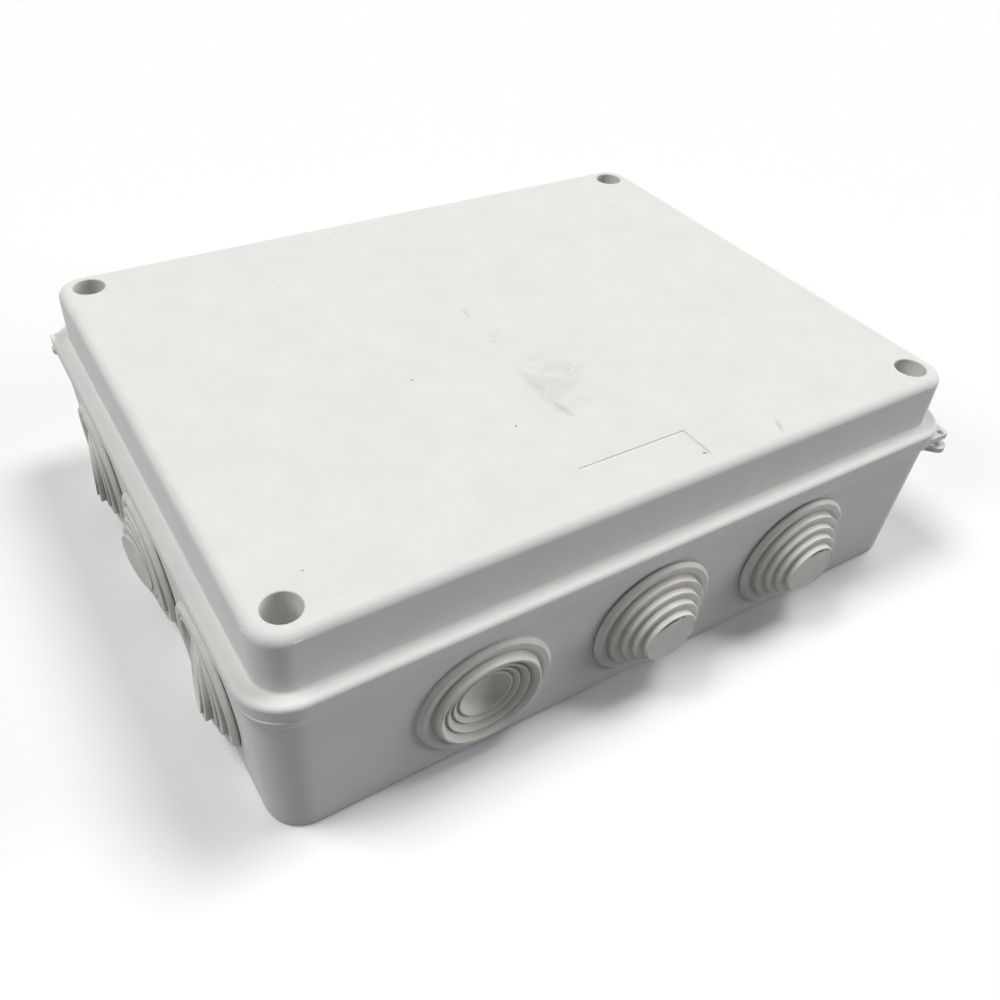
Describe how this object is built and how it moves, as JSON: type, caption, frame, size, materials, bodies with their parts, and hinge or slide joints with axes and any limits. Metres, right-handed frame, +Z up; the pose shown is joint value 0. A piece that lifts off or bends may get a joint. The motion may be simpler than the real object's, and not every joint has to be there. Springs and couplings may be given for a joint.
{
  "type": "junction box",
  "caption": "Rectangular weatherproof junction box with a stepped screw-down lid, corner screw wells, wire-seal lugs and stepped rubber cable entries in its walls.",
  "frame": {"origin": "middle of the base's flat underside", "axes": "+X along the long side, +Y along the short side towards the back, +Z up out of the lid"},
  "size_m": [0.2718, 0.2158, 0.077],
  "materials": {
    "box_plastic": "fine moulded texture",
    "grommet_rubber": "smooth soft rubber",
    "gasket_rubber": "soft foam rubber",
    "screw_steel": "zinc plated"
  },
  "bodies": {
    "base": {"base_shell": "box_plastic", "grommet_front_1": "grommet_rubber", "grommet_front_2": "grommet_rubber", "grommet_front_3": "grommet_rubber", "grommet_right_1": "grommet_rubber", "grommet_right_2": "grommet_rubber", "grommet_right_3": "grommet_rubber", "grommet_back_1": "grommet_rubber", "grommet_back_2": "grommet_rubber", "grommet_back_3": "grommet_rubber", "grommet_left_1": "grommet_rubber", "grommet_left_2": "grommet_rubber", "grommet_left_3": "grommet_rubber"},
    "lid": {"lid_shell": "box_plastic", "lid_gasket": "gasket_rubber"},
    "screw_front_left": {"lid_screw_front_left": "screw_steel"},
    "screw_front_right": {"lid_screw_front_right": "screw_steel"},
    "screw_back_right": {"lid_screw_back_right": "screw_steel"},
    "screw_back_left": {"lid_screw_back_left": "screw_steel"}
  },
  "joints": [
    {"name": "lid_lift", "type": "slide", "parent": "base", "child": "lid", "axis": [0, 0, 1], "range_m": [0, 0.08]},
    {"name": "screw_front_left_out", "type": "slide", "parent": "lid", "child": "screw_front_left", "axis": [0, 0, 1], "range_m": [0, 0.04]},
    {"name": "screw_front_right_out", "type": "slide", "parent": "lid", "child": "screw_front_right", "axis": [0, 0, 1], "range_m": [0, 0.04]},
    {"name": "screw_back_right_out", "type": "slide", "parent": "lid", "child": "screw_back_right", "axis": [0, 0, 1], "range_m": [0, 0.04]},
    {"name": "screw_back_left_out", "type": "slide", "parent": "lid", "child": "screw_back_left", "axis": [0, 0, 1], "range_m": [0, 0.04]}
  ]
}
